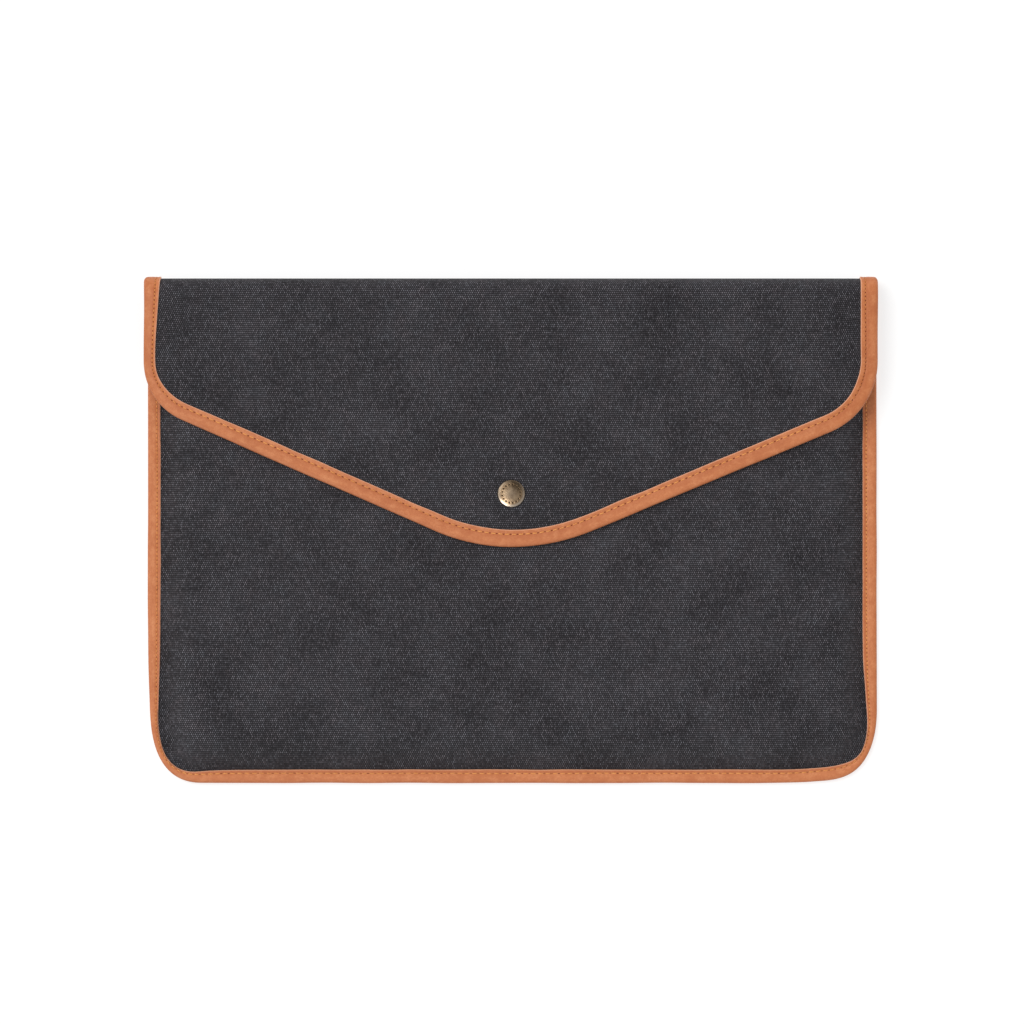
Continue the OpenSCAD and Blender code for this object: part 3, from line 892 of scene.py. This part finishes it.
def patch_material():
    m = Nodes("patch")
    fibre = m.noise(m.place(), 900.0, 4.0, 0.7)
    m.base(m.mix(m.remap(fibre, 0.3, 0.7), tone(78, 58, 44), tone(112, 88, 68)), 0.9)
    m.bump(fibre, 0.5, 0.0002)
    return m.material


def floor_material():
    """White light table: pale glass lit from below."""
    m = Nodes("floor")
    mottle = m.noise(m.place(), 30.0, 2.0)
    m.base(m.mix(mottle, (0.37, 0.37, 0.37, 1), (0.38, 0.38, 0.38, 1)), 0.9)
    m.set(Specular_IOR_Level=0.1, Emission_Color=(1, 1, 1, 1), Emission_Strength=0.69)
    return m.material


def finish_piece(piece, material, slot, body=None, blend=None, nodes=()):
    """Gives a piece its material, hangs it on its body or keeps it where it was made if it has a
    blend, and hides the nodes it stands for. slot is not used.
    """
    piece.data.materials.append(material)
    if blend:
        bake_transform(piece)
    else:
        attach(piece, body)
    if nodes:
        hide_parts(*nodes)


# ------------ the sleeve
canvas = weave_material("canvas", tone(32, 29, 33), tone(148, 145, 151), 0.544, 1.088, 0.25, 0.05)
lining = weave_material("lining", tone(104, 95, 82), tone(160, 150, 133), 0.45, 0.45, 0.15, 0.10)
stiffener = weave_material("stiffener", tone(190, 188, 180), tone(226, 224, 218), 0.8, 0.8, 0.1, 0.0)
# The pocket's copy of the leather is painted lighter than the flap's, to offset the shade the raised
# pocket puts on its strips.
flap_leather = leather_material("leather_flap", 1.03, 0.40, 0.0)
pocket_leather = leather_material("leather_pocket", 1.09, 0.0, 0.45)
thread = thread_material()
foam = foam_material()
brass = brass_material("brass")


# Two lines through the fold, named in the blends of the layers between the sleeve and the flap; a
# blend only keeps a piece where it was made.
BEND_DEPTH = CANVAS + STIFFENER
BEND_SIDE = (0, (FOLD_OUT - BEND_DEPTH) * MM, (FOLD_FOOT + FOLD_R) * MM)
LOWER_BLEND = ("sleeve", "fold", (0, FOLD_Y * MM, (FOLD_FOOT + BEND_DEPTH) * MM), BEND_SIDE)
UPPER_BLEND = ("fold", "flap", BEND_SIDE, (0, FOLD_Y * MM, (FLAP_TOP - BEND_DEPTH) * MM))


def layer(name, grid, place, outside, inside, cloth, material, slot, nodes, **carried):
    """One layer of a panel, between two depths below its outer face."""
    piece = sheet_mesh(name, place(*grid, outside), place(*grid, inside), cloth)
    finish_piece(piece, material, slot, nodes=nodes, **carried)
    return piece


def make_cloth(panel, grid, place, depth, cloth, cut, parts, **carried):
    """A panel's canvas and its lining. cut (their flat size, how they are held and the share of that
    size that is cloth) is not used. parts are the CAD parts they stand for."""
    for kind, material, outside, inside in (("canvas", canvas, 0, CANVAS),
                                            ("lining", lining, depth, depth + LINING)):
        piece = layer(kind + "_" + panel, grid, place, outside, inside, cloth, material, kind,
                      [part + "_" + kind for part in parts], **carried)


def make_pad(panel, grid, place, depth, cloth):
    """A panel's foam, clear of its canvas and of the lining at the given depth."""
    depth = np.maximum(depth - FOAM_GAP, CANVAS + 2 * FOAM_GAP)
    pad = layer("foam_" + panel, grid, place, CANVAS + FOAM_GAP, depth, cloth, foam, "foam",
                [panel + "_foam"], body="sleeve")


def make_back():
    x, q = grid = back_grid(CLOTH_IN, 170, 2.5)
    flat = (2 * POCKET_HALF * MM, (PANEL_END - BOTTOM_Y + 2 * QUARTER) * MM)
    make_cloth("back", grid, wrap, back_lining_depth(x, q), flat_cloth(x, q + QUARTER + FOLD_Y),
               (flat, "folded", PANEL_CUT), ("back", "fold"), blend=LOWER_BLEND)
    x, y = pocket_grid(10.0, PANEL_END - 4, 90, 5.0)
    grid = (x, y - FOLD_Y - QUARTER)
    make_pad("back", grid, wrap, back_lining_depth(*grid), flat_cloth(x, y))


def make_front():
    x, y = grid = pocket_grid(CLOTH_IN, MOUTH_Y - 0.05, 180, 2.2)
    flat = ((2 * POCKET_HALF + 20) * MM, (MOUTH_Y - BOTTOM_Y + 10) * MM)
    make_cloth("front", grid, front_point, front_lining_depth(x, y), front_cloth(x, y),
               (flat, "stretched", PANEL_CUT), ("front",), body="sleeve")
    x, y = grid = pocket_grid(11.0, MOUTH_Y - 2, 110, 4.0)
    make_pad("front", grid, front_point, front_lining_depth(x, y), flat_cloth(x, y))


def make_flap():
    x, q = grid = flap_grid(CLOTH_IN, 150, 2.5)
    flat = (2 * FLAP_HALF * MM, q.max() * MM)
    make_cloth("flap", grid, wrap, flap_lining_depth(x, q), flat_cloth(x, QUARTER + FOLD_Y - q),
               (flat, "folded", FLAP_CUT), ("flap", "fold"), blend=UPPER_BLEND)
    from_edge = FLAP_STRIP_W + 6.0
    x, q = grid = flap_grid(from_edge, 120, 2.5)
    gap = 0.04
    near_side = 1 - smooth((flap_edge(x, q)[0] - from_edge) / 25)
    clear = gap + 0.40 * np.maximum(near_side, np.exp(-((q - QUARTER) / 8) ** 2))
    depth = np.maximum(flap_lining_depth(x, q) - clear, CANVAS + 3 * gap)
    middle = layer("stiffener_flap", grid, wrap, CANVAS + gap, depth, flat_cloth(x, q), stiffener,
                   "stiffener", ["flap_stiffener", "fold_stiffener"], blend=UPPER_BLEND)


def flap_strip_width(s, length):
    """The strip is narrower down the left side of the flap, where it was pulled tighter."""
    reach = np.where(s < 52, 36, 26)
    return FLAP_STRIP_W - 3.1 * np.exp(-((s - 52) / reach) ** 2)


def pinch(t, after):
    """1 at t = 0, dying out over 38 mm before it and another length after it."""
    return np.exp(-(t / np.where(t < 0, 38.0, after)) ** 2)


def pocket_strip_width(s, length):
    """The strip is pinched round the corners and widest up the right side."""
    straight = PANEL_END - BOTTOM_Y - CORNER[1]
    width = 7.0 + 0.4 * smooth((s - straight) / 60) + 0.6 * smooth((s - length + straight + 40) / 60)
    return width - 3.5 * pinch(s - straight - 27, 26) - 3.4 * pinch(length - s - straight - 25, 14)


def pressed(z):
    """Height of the pocket's strip, whose underside is pressed flat on the table."""
    return np.where(z < 0.3, 0.15 + 0.5 * z, z)


def edge_place(x, q, c):
    """Point of the strips round the flap and the fold."""
    return wrap(x, q, EDGE_STACK / 2 - c)


def mouth_place(x, y, c):
    """Point of the mouth's strip, which was thinned where the side strips hold its ends."""
    d, _ = pocket_edge(x, y)
    thin = 0.55 + 0.45 * smooth((d - 8) / 6)
    return front_point(x, y, thin * (MOUTH_STACK / 2 - c))


def add_strip(strip, name, leather, nodes, stitch_nodes, under, **carried):
    """Makes a strip's leather and its thread, on the lower face too if under is set."""
    finish_piece(strip.mesh("binding_" + name), leather, "leather", nodes=nodes, **carried)
    rows = stitches(strip)
    if under:
        rows += stitches(strip, under=True)
    finish_piece(blobs("stitches_" + name, rows), thread, "thread", nodes=stitch_nodes, **carried)


def make_strips():
    flap = Strip(flap_outline(), -1, EDGE_STACK, flap_strip_width, edge_place, 21)
    add_strip(flap, "flap", flap_leather,
              ["flap_binding", "fold_binding_left", "fold_binding_right"],
              ["flap_stitching"], True, blend=UPPER_BLEND)
    pocket = Strip(pocket_outline(0.0, PANEL_END), 1, SEAM_STACK, pocket_strip_width,
                   lambda x, y, c: np.stack([x, y, pressed(SEAM_H / 2 + c)], -1), 31, gape=0.2)
    add_strip(pocket, "pocket", pocket_leather, ["body_binding"], ["body_stitching"], True,
              body="sleeve")
    left, right = [sewn(side * POCKET_HALF, MOUTH_Y)[0] - side * inset
                   for side, inset in ((-1, 7.3), (1, 8.3))]
    mouth = Strip([[left, MOUTH_Y + LEATHER], [right, MOUTH_Y + LEATHER]], -1, MOUTH_STACK,
                  lambda s, length: MOUTH_STRIP_W + 0 * s, mouth_place, 41, gape=0.4)
    add_strip(mouth, "mouth", pocket_leather, ["mouth_binding"], ["mouth_stitching"], False,
              body="sleeve")


def make_fold_ends():
    """The two short strips on the lower quarter of the fold."""
    width = {-1: float(flap_strip_width(0.0, 0.0)), 1: FLAP_STRIP_W}
    for name, (side, half, _, _) in zip(("left", "right"), FLAP_SIDES):
        q = np.linspace(-QUARTER - 4.2, 0.0, 28)
        start, _ = sewn(side * POCKET_HALF, FOLD_Y)
        x = start + (side * half - start) * smooth(1 + q / QUARTER) - side * fold_tuck(q)
        fold = Strip(np.stack([x, q], 1), side, EDGE_STACK, lambda s, length: width[side] + 0 * s,
                     edge_place, 51)
        add_strip(fold, "fold_" + name, flap_leather, ["fold_binding_" + name], [], False,
                  blend=LOWER_BLEND)


def cap_profile():
    """Cap from the middle of its crown round to the end of its post, as points (radius, z)."""
    roll = 0.8
    rim_x = CAP_R - roll
    turn = np.linspace(1.2, -0.5, 14)
    edge_r, drop = rim_x + roll * cos(turn[0]), 1.25
    crown = [(r, CAP_TOP - drop * (r / edge_r) ** 2.2) for r in np.linspace(0.02, edge_r, 44)]
    rim_z = crown[-1][1] - roll * sin(turn[0])
    rim = [(rim_x + roll * cos(t), rim_z + roll * sin(t)) for t in turn[1:]]
    post_r = 1.7
    foot = [(CAP_R - 0.5, FLAP_TOP + 0.03), (post_r, FLAP_TOP + 0.03), (post_r, cap_low[2]),
            (0.02, cap_low[2])]
    return np.array(crown + rim + foot), len(crown)


def make_snap():
    """Domed cap with a plain ring of small round dents pressed into it."""
    profile, crown_count = cap_profile()
    angle = np.linspace(0, 2 * pi, CAP_SIDES + 1)[:-1]
    r, t = np.meshgrid(profile[:, 0], angle, indexing="ij")
    z = np.repeat(profile[:, 1:], CAP_SIDES, 1)
    on_crown = np.arange(len(r))[:, None] < crown_count
    across = (((t / (2 * pi) * CAP_DENTS) % 1) - 0.5) * 2 * pi * r / CAP_DENTS
    dent = (1 - smooth((np.hypot(across, r - DENT_RING) - 0.22) / 0.36)) * on_crown
    z = z - 0.20 * dent + 0.012 * soft_noise(r * np.cos(t), r * np.sin(t), 2.6, 61) * on_crown
    points = np.stack([r * np.cos(t), SNAP_Y + r * np.sin(t), z], -1)
    # painted shade under the rim, beside the patina in the dents
    under_rim_shade = smooth((CAP_TOP - 1.5 - z) / 0.5)
    # painted highlight: the rim is rubbed lighter on its lower side; the crown's middle is worn bright
    lower_side = 0.5 - 0.5 * np.sin(t)
    rubbed = (0.10 + 0.40 * lower_side) * smooth((r - 5.6) / 1.2) + 0.15 * np.exp(-(r / 3.5) ** 2)
    wear_and_painted_light = np.stack([np.clip(dent + 0.6 * under_rim_shade, 0, 1), rubbed, 0 * r], -1)
    cap = new_solid("snap_cap_dome", points, tube_faces(*r.shape), [], [("wear_and_painted_light", wear_and_painted_light)])
    finish_piece(cap, brass, "brass", body="flap", nodes=["snap_cap"])


def paint_hidden_parts():
    """Materials of the snap's inner parts and its patches, which are shown as they are."""
    inside = brass_material("brass_inside", 0.25, 0.3)
    for material, nodes in ((inside, ("snap_stud", "snap_post", "snap_socket")),
                            (steel_material(), ("snap_spring",)),
                            (patch_material(), ("front_snap_patch", "flap_snap_patch"))):
        for node in nodes:
            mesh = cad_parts[node].data
            mesh.materials.clear()
            mesh.materials.append(material)


def make_plate(name, x, y, top_z, thick, material):
    """A flat plate with its upper face at height top_z."""
    x, y = np.meshgrid(x, y)
    top = np.stack([x, y, 0 * x + top_z], -1)
    plate = sheet_mesh(name, top, top - [0, 0, thick], flat_cloth(x, y))
    plate.data.materials.append(material)
    return plate


def make_floor():
    rows = np.linspace(-6000.0, 6000.0, 9)
    make_plate("floor", rows, rows, -0.02, 4.0, floor_material())


def make_lights():
    """Even white surroundings, a broad soft key from the upper left, and a smaller lamp at the
    lower left that the cap mirrors."""
    world = bpy.data.worlds.new("studio")
    bpy.context.scene.world = world
    world.use_nodes = True
    background = world.node_tree.nodes["Background"]
    background.inputs[0].default_value = (1, 1, 1, 1)
    background.inputs[1].default_value = 0.66
    key = bpy.data.lights.new("key", "SUN")
    key.energy = 1.40
    key.angle = radians(34)
    place_light(key, (-0.50, 0.40, 1.0))
    low = bpy.data.lights.new("low", "AREA")
    low.size = 0.9
    low.energy = 18.0
    place_light(low, (-0.75, -0.95, 1.55)).visible_diffuse = False
    bpy.context.scene.view_settings.view_transform = "Standard"


def make_flag():
    """Black card above the fold, seen only by shiny surfaces: it darkens the cap's upper half."""
    m = Nodes("black_card")
    fibre = m.noise(m.layer("cloth"), 0.5, 3.0)
    m.base(m.mix(fibre, (0.010, 0.010, 0.010, 1), (0.022, 0.021, 0.020, 1)), 0.9)
    flag = make_plate("flag", np.linspace(-900.0, 900.0, 5), np.linspace(180.0, 1600.0, 5),
                      1105.0, 5.0, m.material)
    flag.visible_camera = flag.visible_diffuse = flag.visible_shadow = False


def place_light(data, location):
    """A lamp that shines at the middle of the sleeve."""
    lamp = add_object(data.name, data)
    lamp.location = location
    lamp.rotation_euler = (-lamp.location).to_track_quat("-Z", "Y").to_euler()
    return lamp


def make_camera():
    """Straight down on the sleeve from far off, with the sleeve a little below the centre."""
    far = 8.0
    view_width = 0.557
    look = (0.0004, 0.0103)
    data = bpy.data.cameras.new("camera")
    data.sensor_width = 36.0
    data.lens = 36.0 * (far - FLAP_TOP * MM) / view_width
    camera = add_object("camera", data)
    camera.location = (look[0], look[1], far)
    bpy.context.scene.camera = camera


make_back()
make_front()
make_flap()
make_strips()
make_fold_ends()
make_snap()
paint_hidden_parts()
make_floor()
make_lights()
make_flag()
make_camera()
